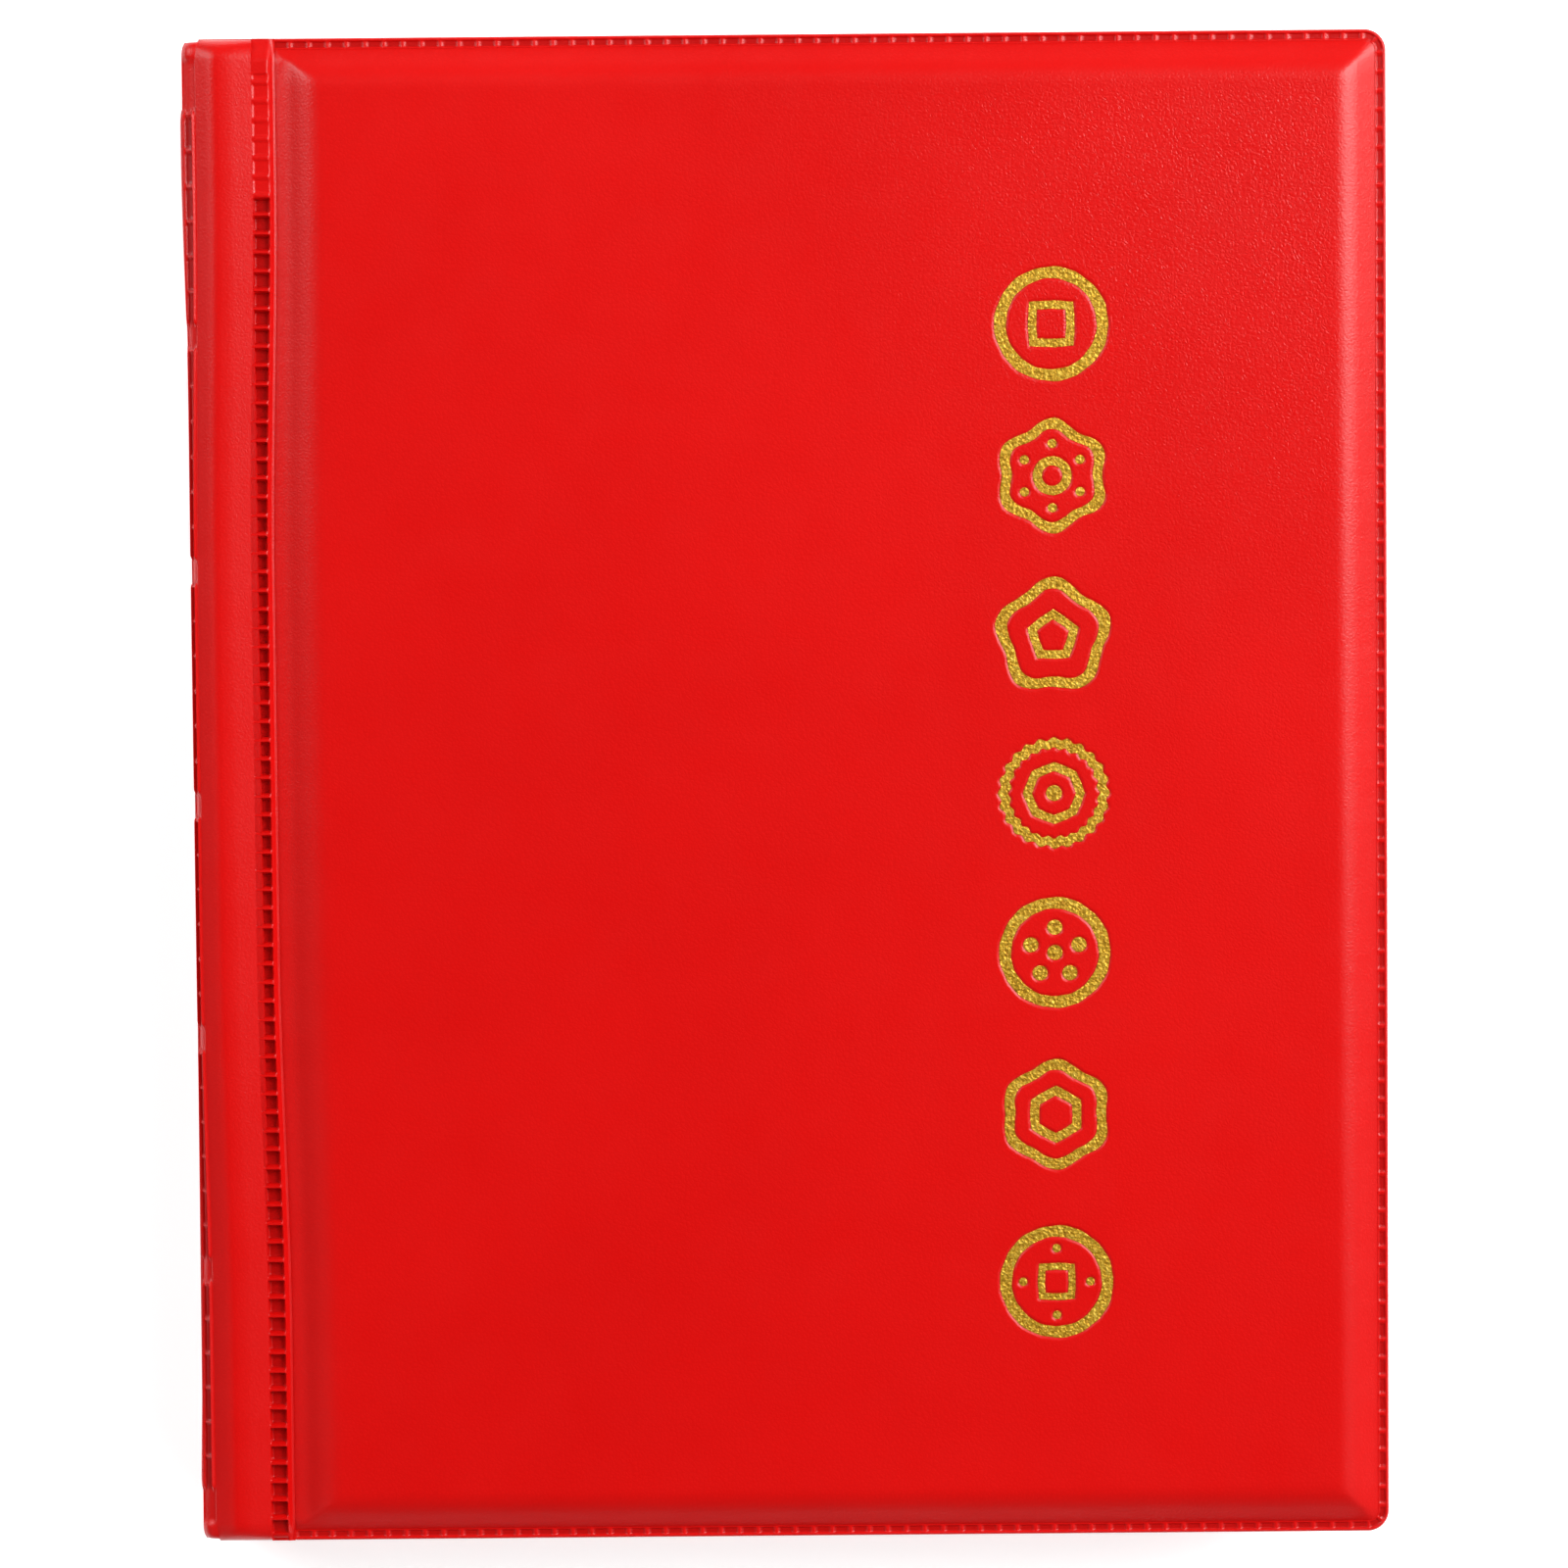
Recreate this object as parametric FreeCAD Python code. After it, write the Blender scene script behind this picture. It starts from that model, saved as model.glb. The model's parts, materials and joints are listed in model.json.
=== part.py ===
"""Coin album: a padded, heat-welded vinyl cover that wraps a block of clear pocket pages.

The album lies shut on its back cover. +X runs from the spine to the fore edge, +Y from the tail
to the head, +Z up. The origin is under the middle of the album, on the surface it lies on.
Millimetres throughout.
"""

import FreeCAD, Part

import math
import os

from FreeCAD import Vector

os.makedirs("parts", exist_ok=True)

# Overall size of the shut album. Its thickness follows from its covers and pages.
album_width = 199.0
album_height = 250.0

# Layers of a cover, from the outside in
skin_thickness = 0.4
foam_thickness = 1.7
board_thickness = 1.6
lining_thickness = 0.3
spine_foam_thickness = 0.7

# Weld flange round each padded panel, and the rounding of the padding
weld_margin = 2.0
cover_corner_radius = 3.5
cushion_corner_radius = 3.0
shoulder_radius = 3.2
board_inset = 2.6

# Ladder weld, which is the hinge between a cover and the strip beside the spine
ladder_distance = 14.0
ladder_width = 3.8
ladder_gap = 0.25

# Fold between a strip and the spine
fold_depth = 0.8
fold_gap = 0.2
corner_clearance = 0.3

# Framed panels down the spine, with a pressed groove between each two
spine_panel_count = 6
spine_head_margin = 10.0
spine_tail_margin = 7.2
spine_groove_width = 3.0
spine_groove_depth = 0.2

# Clear pages, welded in a row to a binding strip on the spine's lining
page_count = 10
page_film = 0.2
page_gap = 0.37
page_to_lining = 0.585
page_end_margin = 6.0
page_fore_margin = 5.0
page_corner_radius = 3.0
binding_base = 0.5
binding_end_margin = 0.3
stub_length = 1.4
stub_thickness = 0.3
page_hinge_gap = 0.3

# Coin pockets on a page
pocket_columns = 4
pocket_rows = 6
pocket_depth = 0.95
pocket_seam = 2.4
pocket_root_margin = 12.0
pocket_edge_margin = 2.0

# Gold foil motifs in a column on the front cover
foil_thickness = 0.1
foil_from_fore_edge = 55.5
foil_radius = 9.6
foil_stroke = 1.9
foil_core_radius = 4.3
foil_core_stroke = 1.5
foil_core_sides = [4, 6, 5, 8, 5, 6, 4]
foil_heights = [77.0, 52.0, 25.5, -0.5, -27.0, -54.0, -82.0]

# How closely two positions agree when they are meant to be the same
tolerance = 1e-3

# Sizes that follow from the ones above
cover_thickness = skin_thickness + foam_thickness + board_thickness + lining_thickness
spine_thickness = skin_thickness + spine_foam_thickness + board_thickness + lining_thickness
pocket_rise = pocket_depth + page_film
page_height = album_height - 2 * page_end_margin
page_pitch = page_film + pocket_rise + page_gap
page_stack = (page_count - 1) * page_pitch
block_thickness = page_stack + page_film + pocket_rise
album_thickness = 2 * (cover_thickness + page_to_lining) + block_thickness
spine_panel_pitch = (album_height - spine_head_margin - spine_tail_margin) / spine_panel_count

spine_face = -album_width / 2
fore_edge = album_width / 2
half_height = album_height / 2
front_inner = album_thickness - cover_thickness
ladder_x = spine_face + ladder_distance
spine_inner = spine_face + spine_thickness
strip_start = spine_inner + corner_clearance
film_start = spine_face + fold_depth + fold_gap
cushion_half_height = half_height - weld_margin
flange_bottom = front_inner + lining_thickness
skin_underside = album_thickness - skin_thickness
board_top = flange_bottom + board_thickness

page_axis_x = spine_inner + binding_base + stub_length + page_hinge_gap
page_start = page_axis_x + page_hinge_gap
page_end = fore_edge - page_fore_margin
lowest_page = cover_thickness + page_to_lining + page_film / 2


def box(x, y, z):
    """A box between three (low, high) pairs."""
    shape = Part.makeBox(x[1] - x[0], y[1] - y[0], z[1] - z[0])
    shape.translate(Vector(x[0], y[0], z[0]))
    return shape


def both_ways(half):
    return (-half, half)


def rounded(shape, radius, chosen):
    """The shape with its edges rounded where chosen(bounding box) is true."""
    edges = [edge for edge in shape.Edges if chosen(edge.BoundBox)]
    return shape.makeFillet(radius, edges)


def upright_at(x):
    """Picks the vertical edges at one X."""
    def chosen(bound):
        at_x = abs(bound.XMin - x) < tolerance and bound.XLength < tolerance
        return at_x and bound.YLength < tolerance

    return chosen


def plate(x, z, radius):
    """A flat layer of full height. Its two fore corners are rounded, or square if the radius is 0."""
    shape = box(x, both_ways(half_height), z)
    return rounded(shape, radius, upright_at(x[1])) if radius else shape


def cushion(sides, inset, top):
    """A padded form over the flange, rounded at its top on the sides that meet a weld.

    sides holds the two sides in X, as (position, whether that side meets a weld)."""
    (low, low_welded), (high, high_welded) = sides
    low_x = low + inset if low_welded else low
    high_x = high - inset if high_welded else high
    shape = box((low_x, high_x), both_ways(cushion_half_height - inset), (flange_bottom, top))
    welded = [side for side, is_welded in ((low_x, low_welded), (high_x, high_welded)) if is_welded]
    for side in welded:
        shape = rounded(shape, cushion_corner_radius - inset, upright_at(side))
    plain = [side for side in (low_x, high_x) if side not in welded]

    def on_top(bound):
        at_top = abs(bound.ZMin - top) < tolerance and bound.ZLength < tolerance
        across = bound.XLength < tolerance
        on_plain_side = any(abs(bound.XMin - side) < tolerance and across for side in plain)
        return at_top and not on_plain_side

    return rounded(shape, shoulder_radius - inset, on_top)


def slab(shape, z):
    """The part of a shape between two heights."""
    return shape.common(box(both_ways(album_width), both_ways(album_height), z))


def padded_panel(sides, flange, weld_corner_radius):
    """Skin, foam, board and lining of a padded panel at the front of the album.

    sides are those of its cushion, and flange is the reach of its flange and lining in X.
    The foam laps over the edges of the board, which stays clear of the sloping shoulders."""
    outside = cushion(sides, 0, album_thickness)
    inside = cushion(sides, skin_thickness, skin_underside)
    board = slab(cushion(sides, board_inset, skin_underside), (flange_bottom, board_top))
    flange_plate = plate(flange, (flange_bottom, flange_bottom + skin_thickness), weld_corner_radius)
    return {
        "skin": outside.fuse(flange_plate).cut(inside),
        "foam": inside.cut(board),
        "board": board,
        "lining": plate(flange, (front_inner, flange_bottom), weld_corner_radius),
    }


def foil_core(sides, radius):
    """A flat polygon with one corner pointing at the head of the album."""
    step = 2 * math.pi / sides
    corners = [Vector(radius * math.sin(step * i), radius * math.cos(step * i), 0) for i in range(sides)]
    return Part.Face(Part.makePolygon(corners + corners[:1]))


def foil_motif(sides, y):
    """A ring with a polygon frame in it, pressed flush into the front cover."""
    ring = Part.makeCylinder(foil_radius, foil_thickness)
    ring = ring.cut(Part.makeCylinder(foil_radius - foil_stroke, foil_thickness))
    frame = foil_core(sides, foil_core_radius).cut(foil_core(sides, foil_core_radius - foil_core_stroke))
    frame = frame.extrude(Vector(0, 0, foil_thickness))
    place = Vector(fore_edge - foil_from_fore_edge, y, album_thickness - foil_thickness)
    return Part.makeCompound([ring.translated(place)] + [solid.translated(place) for solid in frame.Solids])


def cover_layers():
    cushion_sides = ((ladder_x + ladder_width / 2, True), (fore_edge - weld_margin, True))
    return padded_panel(cushion_sides, (ladder_x + ladder_gap, fore_edge), cover_corner_radius)


def strip_layers():
    """The narrow panel between the spine and the ladder weld. Its skin runs on to the spine's fold."""
    cushion_sides = ((strip_start, False), (ladder_x - ladder_width / 2, True))
    layers = padded_panel(cushion_sides, (strip_start, ladder_x - ladder_gap), 0)
    fold_x = (film_start, strip_start)
    fold_film = box(fold_x, both_ways(cushion_half_height), (skin_underside, album_thickness))
    layers["skin"] = layers["skin"].fuse(fold_film).removeSplitter()
    return layers


def to_back(shape):
    """The same piece on the back of the album."""
    return shape.mirror(Vector(0, 0, album_thickness / 2), Vector(0, 0, 1))


def spine_panel_centres():
    first = spine_tail_margin + spine_panel_pitch / 2 - half_height
    return [first + i * spine_panel_pitch for i in range(spine_panel_count)]


def spine_skin():
    """A film over the whole spine, with a pressed groove between neighbouring panels."""
    film = box((spine_face, spine_face + skin_thickness), both_ways(cushion_half_height),
               (fold_depth + fold_gap, album_thickness - fold_depth - fold_gap))
    groove_x = (spine_face, spine_face + spine_groove_depth)
    for centre in spine_panel_centres()[1:]:
        middle = centre - spine_panel_pitch / 2
        groove_y = (middle - spine_groove_width / 2, middle + spine_groove_width / 2)
        film = film.cut(box(groove_x, groove_y, (0, album_thickness)))
    return film


def spine_layers():
    """The spine's padding, board and lining, between the inner faces of the two strips."""
    z = (cover_thickness + corner_clearance, front_inner - corner_clearance)
    foam_x = spine_face + skin_thickness
    board_x = foam_x + spine_foam_thickness
    lining_x = board_x + board_thickness
    pad_half = (spine_panel_pitch - spine_groove_width) / 2
    pads = [box((foam_x, board_x), (y - pad_half, y + pad_half), z) for y in spine_panel_centres()]
    return {
        "spine_foam_pads": Part.makeCompound(pads),
        "spine_board": box((board_x, lining_x), both_ways(cushion_half_height), z),
        "spine_lining": box((lining_x, spine_inner), both_ways(cushion_half_height), z),
    }


def page_level(index):
    """Height of the middle of a page's backing film."""
    return lowest_page + index * page_pitch


def binding_strip():
    """A base on the spine's lining, with one thin stub that each page hangs from."""
    base_z = (cover_thickness + corner_clearance + binding_end_margin,
              front_inner - corner_clearance - binding_end_margin)
    strip = box((spine_inner, spine_inner + binding_base), both_ways(page_height / 2), base_z)
    stub_x = (spine_inner + binding_base, spine_inner + binding_base + stub_length)
    for index in range(page_count):
        level = page_level(index)
        stub_z = (level - stub_thickness / 2, level + stub_thickness / 2)
        strip = strip.fuse(box(stub_x, both_ways(page_height / 2), stub_z))
    return strip.removeSplitter()


def page_sheet(x_start, z):
    sheet = box((x_start, page_end), both_ways(page_height / 2), z)
    return rounded(sheet, page_corner_radius, upright_at(page_end))


def pocket_sheet():
    """The front film of a page at height zero, raised into a grid of pockets that open towards the head."""
    start = page_start + pocket_root_margin
    low = page_film / 2
    sheet = page_sheet(start, (low, low + page_film))
    cell_x = (page_end - pocket_edge_margin - start) / pocket_columns
    cell_y = (page_height - 2 * pocket_edge_margin) / pocket_rows
    raised = []
    hollows = []
    for column in range(pocket_columns):
        for row in range(pocket_rows):
            x = (start + column * cell_x + pocket_seam / 2, start + (column + 1) * cell_x - pocket_seam / 2)
            foot = -page_height / 2 + pocket_edge_margin + row * cell_y
            y = (foot + pocket_seam / 2, foot + cell_y - pocket_seam / 2)
            raised.append(box(x, y, (low, low + pocket_rise)))
            inner_x = (x[0] + page_film, x[1] - page_film)
            hollows.append(box(inner_x, (y[0] + page_film, y[1]), (low, low + pocket_depth)))
    return sheet.multiFuse(raised).cut(Part.makeCompound(hollows))


def album():
    """Every node of the album, by name."""
    nodes = {}
    motifs = [foil_motif(sides, y) for sides, y in zip(foil_core_sides, foil_heights)]
    for layer, shape in cover_layers().items():
        nodes["back_cover_" + layer] = to_back(shape)
        nodes["front_cover_" + layer] = shape.cut(Part.makeCompound(motifs)) if layer == "skin" else shape
    for layer, shape in strip_layers().items():
        nodes["back_strip_" + layer] = to_back(shape)
        nodes["front_strip_" + layer] = shape
    nodes["spine_skin"] = spine_skin()
    nodes.update(spine_layers())
    nodes["page_binding_strip"] = binding_strip()
    for number, motif in enumerate(motifs, start=1):
        nodes["foil_motif_%d" % number] = motif
    backing = page_sheet(page_start, (-page_film / 2, page_film / 2))
    pockets = pocket_sheet()
    for index in range(page_count):
        level = Vector(0, 0, page_level(index))
        nodes["page_%02d_backing" % (index + 1)] = backing.translated(level)
        nodes["page_%02d_pockets" % (index + 1)] = pockets.translated(level)
    return nodes


for name, shape in album().items():
    shape.exportStep("parts/%s.step" % name)
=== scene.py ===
"""The looks of the coin album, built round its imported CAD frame.

Every place and size is in metres, in the frame's own axes: +X from the spine to the fore edge, +Y to
the head, +Z up from the back cover to the front cover. Panels are first made in a local frame
(across, along, outward) and then laid on the front, the back or the spine.
"""

import json
import math

import bpy
import numpy as np
from mathutils import Matrix, Vector


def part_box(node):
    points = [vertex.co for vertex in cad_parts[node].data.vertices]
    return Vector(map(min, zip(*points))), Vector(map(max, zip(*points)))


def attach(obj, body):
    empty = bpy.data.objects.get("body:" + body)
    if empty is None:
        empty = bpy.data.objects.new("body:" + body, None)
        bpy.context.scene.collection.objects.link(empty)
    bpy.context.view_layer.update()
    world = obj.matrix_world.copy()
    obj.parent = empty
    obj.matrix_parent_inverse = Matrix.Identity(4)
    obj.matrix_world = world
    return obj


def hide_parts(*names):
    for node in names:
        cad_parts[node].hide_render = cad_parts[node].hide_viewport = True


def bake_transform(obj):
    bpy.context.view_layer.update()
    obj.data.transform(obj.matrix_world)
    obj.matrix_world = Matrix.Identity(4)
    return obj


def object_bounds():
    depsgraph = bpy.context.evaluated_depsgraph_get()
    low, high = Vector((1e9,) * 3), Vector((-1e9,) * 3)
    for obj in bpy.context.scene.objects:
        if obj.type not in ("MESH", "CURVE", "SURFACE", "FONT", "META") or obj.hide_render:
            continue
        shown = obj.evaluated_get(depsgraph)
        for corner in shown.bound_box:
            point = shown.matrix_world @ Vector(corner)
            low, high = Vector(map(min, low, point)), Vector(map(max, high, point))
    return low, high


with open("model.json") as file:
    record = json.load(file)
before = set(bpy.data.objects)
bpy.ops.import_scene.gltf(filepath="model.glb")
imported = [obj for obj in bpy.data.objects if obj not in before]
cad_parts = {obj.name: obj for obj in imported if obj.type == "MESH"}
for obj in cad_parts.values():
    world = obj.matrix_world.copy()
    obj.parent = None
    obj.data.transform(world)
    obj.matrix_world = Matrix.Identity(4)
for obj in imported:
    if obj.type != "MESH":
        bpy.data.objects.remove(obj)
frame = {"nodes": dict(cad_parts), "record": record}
cad_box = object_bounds()

MM = 0.001


# ---- Places read from the frame

def joint_place(name):
    """Where a joint's axis is, at rest."""
    joints = frame["record"]["behaviour"]["joints"]
    return next(joint["pos_m"] for joint in joints if joint["name"] == name)


album_low, album_high = Vector(cad_box[0]), Vector(cad_box[1])
album_top = album_high.z
half_height = album_high.y
spine_face = album_low.x
fore_edge = album_high.x
lining_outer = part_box("front_cover_lining")[1][2]
spine_lining_face = -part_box("spine_lining")[0][0]
spine_board_face = -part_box("spine_board")[0][0]
ladder_x, _, flange_level = joint_place("front_cover_hinge")

# ---- Sizes that several pieces share

EDGE_WIDTH = 1.8 * MM
EDGE_CORNER = 3.5 * MM
BRICK_PITCH = 3.1 * MM
BRICK_LENGTH = 2.4 * MM
BRICK_WIDTH = 0.95 * MM
BRICK_DEPTH = 0.22 * MM
LADDER_HALF = 1.9 * MM
LADDER_PITCH = 3.1 * MM
LADDER_STRIP_RISE = 2.1 * MM
LADDER_COVER_RISE = 0.6 * MM
FOLD_BORDER = (2.9 * MM, 1.5 * MM)
FOLD_SPINE_BORDER = (0.55 * MM, 3.0 * MM)
FOLD_END_ROUNDING = 2.2 * MM
SPINE_PANELS = 6
SPINE_HEAD = 10.0 * MM
SPINE_TAIL = 7.2 * MM
SPINE_SETBACK = 0.5 * MM
NECK = 3.0 * MM

cover_left = ladder_x + LADDER_HALF
cover_right = fore_edge - EDGE_WIDTH
panel_end = half_height - EDGE_WIDTH
strip_low = spine_face + FOLD_BORDER[0]
strip_high = ladder_x - LADDER_HALF
strip_base = album_top - FOLD_BORDER[1]
spine_end = half_height - SPINE_SETBACK
spine_pitch = (2 * half_height - SPINE_HEAD - SPINE_TAIL) / SPINE_PANELS


# ---- Small geometry helpers

def smooth(x):
    """A smooth step from 0 to 1."""
    x = np.clip(x, 0, 1)
    return x * x * (3 - 2 * x)


def plateau(distance, half, soft):
    """1 inside half the width, falling to 0 over a soft edge."""
    return smooth((half - np.abs(distance)) / soft + 0.5)


def from_cell_middle(position, pitch):
    """Distance from the middle of the nearest cell of a repeating pattern."""
    return (np.mod(position / pitch, 1) - 0.5) * pitch


def shoulder(distance, width):
    """Height of a rounded edge, as a share of the full height."""
    reach = np.clip(1 - distance / width, 0, 1)
    return np.sqrt(np.maximum(1 - reach ** 2, 0))


def shoulder_lines(width, count):
    """Distances from an edge that follow its rounding evenly."""
    return width * (1 - np.cos(np.linspace(0, math.pi / 2, count)))


def ramp(distance, width):
    """Height of a skin stretched from a weld, as a share: an even slope that then flattens out."""
    share = np.clip(distance / width, 0, 1)
    late = np.maximum(share - 0.4, 0)
    return (share - late ** 2 / 1.2) / 0.7


def ramp_lines(width, count):
    """Distances from an edge for a ramp, closer together near the edge."""
    return width * np.linspace(0, 1, count) ** 1.3


def merged_lines(*groups, closest=0.02 * MM):
    """Sorted grid lines from several groups, without near doubles."""
    values = np.sort(np.concatenate([np.atleast_1d(group) for group in groups]))
    return values[np.concatenate([[True], np.diff(values) > closest])]


def spaced(low, high, spacing):
    """Even grid lines, about a spacing apart."""
    return np.linspace(low, high, max(2, int(round((high - low) / spacing)) + 1))


def grid_faces(rows, columns, start=0):
    """Quads of a grid whose rows run along and columns across, seen from outside."""
    first = start + np.arange(rows - 1)[:, None] * columns + np.arange(columns - 1)[None, :]
    quads = np.stack([first, first + 1, first + columns + 1, first + columns], axis=-1)
    return quads.reshape(-1, 4).tolist()


def grid_border(rows, columns):
    """The grid's border, once round in the same sense as its faces."""
    tail = list(range(columns))
    fore = [row * columns + columns - 1 for row in range(1, rows)]
    head = [(rows - 1) * columns + column for column in range(columns - 2, -1, -1)]
    spine = [row * columns for row in range(rows - 2, 0, -1)]
    return tail + fore + head + spine


def mark_points(piece, name, amounts):
    """Stores an amount at each point of a piece, for its material to read."""
    attribute = piece.data.attributes.new(name, "FLOAT", "POINT")
    values = np.zeros(len(piece.data.vertices), dtype=np.float32)
    values[:amounts.size] = amounts.ravel()
    attribute.data.foreach_set("value", values)


def make_piece(name, points, faces, material, flip=False):
    """A mesh object from points in metres."""
    if flip:
        faces = [face[::-1] for face in faces]
    mesh = bpy.data.meshes.new(name)
    mesh.from_pydata(np.asarray(points).tolist(), [], faces)
    mesh.validate()
    mesh.polygons.foreach_set("use_smooth", np.ones(len(mesh.polygons), dtype=bool))
    mesh.materials.append(material)
    mesh.set_sharp_from_angle(angle=math.radians(50))
    piece = bpy.data.objects.new(name, mesh)
    bpy.context.scene.collection.objects.link(piece)
    return piece


# ---- Local frames: a point's across, along and outward values become x, y and z

BOW_PLACES = (strip_low, strip_high, cover_left, cover_left + 13.6 * MM)
BOW_SHIFTS = (-0.75 * MM, -1.1 * MM, -1.2 * MM, 0.0)
BOW_MIDDLE = 6.0 * MM
BOW_REACH = 95.0 * MM
BOW_STEEPNESS = 1.5
SPINE_BOW = 0.95 * MM
SPINE_BOW_MIDDLE = -10.0 * MM
SPINE_BOW_REACH = 118.0 * MM
SPINE_BOW_STEEPNESS = 2.2


def mid_height(along, middle, reach, steepness):
    """A share that is 0 near the head and the tail, and 1 round a middle."""
    return smooth(steepness * (1 - np.abs(along - middle) / reach))


def bow(along):
    """How far the strip and its welds have crept out of line, as a share."""
    return mid_height(along, BOW_MIDDLE, BOW_REACH, BOW_STEEPNESS)


def on_front(across, along, outward):
    x = across + bow(along) * np.interp(across, BOW_PLACES, BOW_SHIFTS)
    return np.stack([x, along, outward], axis=-1)


def on_back(across, along, outward):
    return on_front(across, along, album_top - outward)


def spine_sink(along, outward):
    """How far the spine's outside has sunk towards its board, most on top of the panels at mid height."""
    share = np.clip((outward - spine_board_face) / (-spine_face - spine_board_face), 0, 1)
    sunk = mid_height(along, SPINE_BOW_MIDDLE, SPINE_BOW_REACH, SPINE_BOW_STEEPNESS)
    return SPINE_BOW * share * sunk


def on_spine(across, along, outward):
    return np.stack([spine_sink(along, outward) - outward, along, across], axis=-1)


FACES = {"front": (on_front, False), "back": (on_back, True)}


# ---- Builders shared by the panels and the welds

def round_corners(across, along, radius, zone, rounded):
    """Pulls corners of a rectangular grid in to a rounded outline.

    rounded says which corners: -1 for the low side across and 1 for the high side."""
    middle_a = (across.min() + across.max()) / 2
    middle_l = (along.min() + along.max()) / 2
    reach_a = (across.max() - across.min()) / 2 - zone
    reach_l = (along.max() - along.min()) / 2 - zone
    a = np.maximum(np.abs(across - middle_a) - reach_a, 0) / zone
    b = np.maximum(np.abs(along - middle_l) - reach_l, 0) / zone
    reach = np.maximum(a, b)
    ratio = np.minimum(a, b) / np.maximum(reach, 1e-9)
    inner = 1 - radius / zone
    root = (inner * (1 + ratio)) ** 2 - (1 + ratio ** 2) * (2 * inner ** 2 - (radius / zone) ** 2)
    hit = (inner * (1 + ratio) + np.sqrt(np.maximum(root, 0))) / (1 + ratio ** 2)
    pull = 1 - reach * (1 - np.where(ratio > inner, np.minimum(hit, 1), 1))
    pull = np.where(np.isin(np.sign(across - middle_a), rounded), pull, 1)
    new_a = np.sign(across - middle_a) * (reach_a + a * pull * zone)
    new_l = np.sign(along - middle_l) * (reach_l + b * pull * zone)
    return (np.where(a > 0, middle_a + new_a, across), np.where(b > 0, middle_l + new_l, along))


def make_panel(name, across, along, height, bottom, place, flip, material, corner, rounded=(-1, 1)):
    """A padded form over a grid, closed underneath at the level of its lining."""
    grid_a, grid_l = np.meshgrid(across, along)
    outward = height(grid_a, grid_l)
    flat_a, flat_l = round_corners(grid_a, grid_l, corner, 3 * corner, rounded)
    rows, columns = grid_a.shape
    top = place(flat_a, flat_l, outward).reshape(-1, 3)
    border = grid_border(rows, columns)
    level = np.full(len(border), bottom)
    skirt = place(flat_a.ravel()[border], flat_l.ravel()[border], level)
    faces = grid_faces(rows, columns)
    foot = rows * columns
    count = len(border)
    for i, corner_index in enumerate(border):
        following = (i + 1) % count
        faces.append([corner_index, foot + i, foot + following, border[following]])
    faces.append([foot + i for i in range(count)][::-1])
    return make_piece(name, np.concatenate([top, skirt]), faces, material, flip)


def make_band(name, along, across, relief, underside, place, flip, material):
    """A strip of film: relief on its outside, plain underneath, closed all round.

    relief gives the height of the outside, and how much its colour is darkened there: the darker pressed
    film, and painted shade in the film's recesses."""
    grid_a, grid_l = np.meshgrid(across, along)
    rows, columns = grid_a.shape
    height, pressed = relief(grid_a, grid_l)
    top = place(grid_a, grid_l, height).reshape(-1, 3)
    under_a, under_l = np.meshgrid(across, along[[0, -1]])
    under = place(under_a, under_l, np.full(under_a.shape, underside)).reshape(-1, 3)
    base = rows * columns
    faces = grid_faces(rows, columns)
    for column in range(columns - 1):
        low, high = base + column, base + columns + column
        faces.append([low, high, high + 1, low + 1])
        faces.append([column, low, low + 1, column + 1])
        far = (rows - 1) * columns + column
        faces.append([far, far + 1, high + 1, high])
    spine_side = [row * columns for row in range(rows)]
    fore_side = [row * columns + columns - 1 for row in range(rows)]
    faces.append(spine_side + [base + columns, base])
    faces.append(fore_side[::-1] + [base + columns - 1, base + 2 * columns - 1])
    piece = make_piece(name, np.concatenate([top, under]), faces, material, flip)
    # Darker colour where the film is pressed: partly the film itself, partly painted shade in its
    # recesses.
    mark_points(piece, "pressed", pressed)
    return piece


# ---- Materials

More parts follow.
